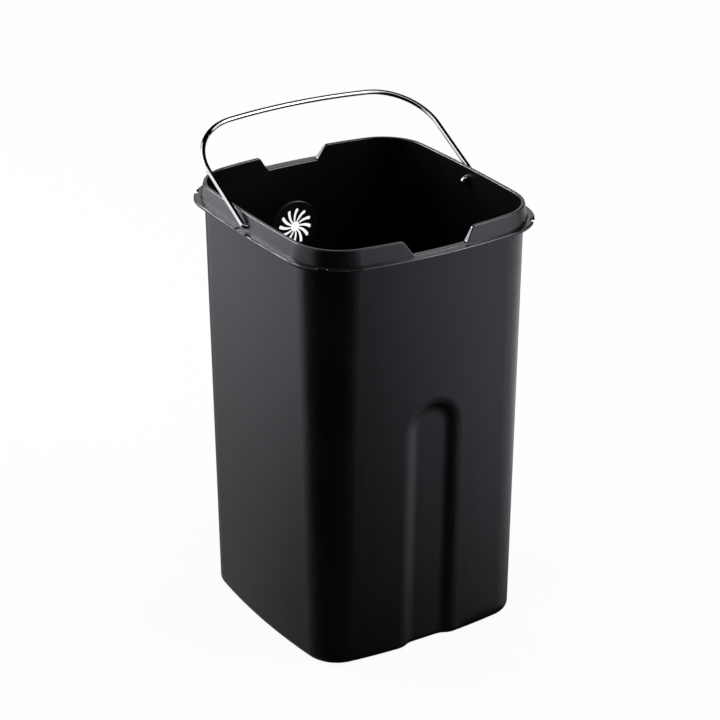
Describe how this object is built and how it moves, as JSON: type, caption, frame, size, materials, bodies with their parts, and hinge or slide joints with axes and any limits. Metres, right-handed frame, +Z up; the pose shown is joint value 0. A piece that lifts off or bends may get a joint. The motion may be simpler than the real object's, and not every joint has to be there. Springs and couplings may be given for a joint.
{
  "type": "waste bin inner bucket",
  "caption": "Tall black plastic inner bucket of a waste bin, with a hanging flange, a notched collar, a wire bail handle and a bag-tuck disc in its back wall.",
  "frame": {"origin": "middle of the bucket's foot, on the surface that it stands on", "axes": "+Z up, -Y towards the front with the arched recess, +X along the bail's pivot axis"},
  "size_m": [0.2158, 0.2316, 0.3969],
  "materials": {
    "bucket_plastic": "satin black polypropylene with a fine moulded grain",
    "bail_chrome": "bright chromed wire",
    "disc_plastic": "black soft plastic"
  },
  "bodies": {
    "bucket": {"bucket": "bucket_plastic", "bag_tuck_disc": "disc_plastic"},
    "bail": {"bail_handle": "bail_chrome"}
  },
  "joints": [
    {"name": "bail_pivot", "type": "hinge", "parent": "bucket", "child": "bail", "pos_m": [0, 0, 0.3434], "axis": [1, 0, 0], "range_deg": [-22, 146]}
  ]
}
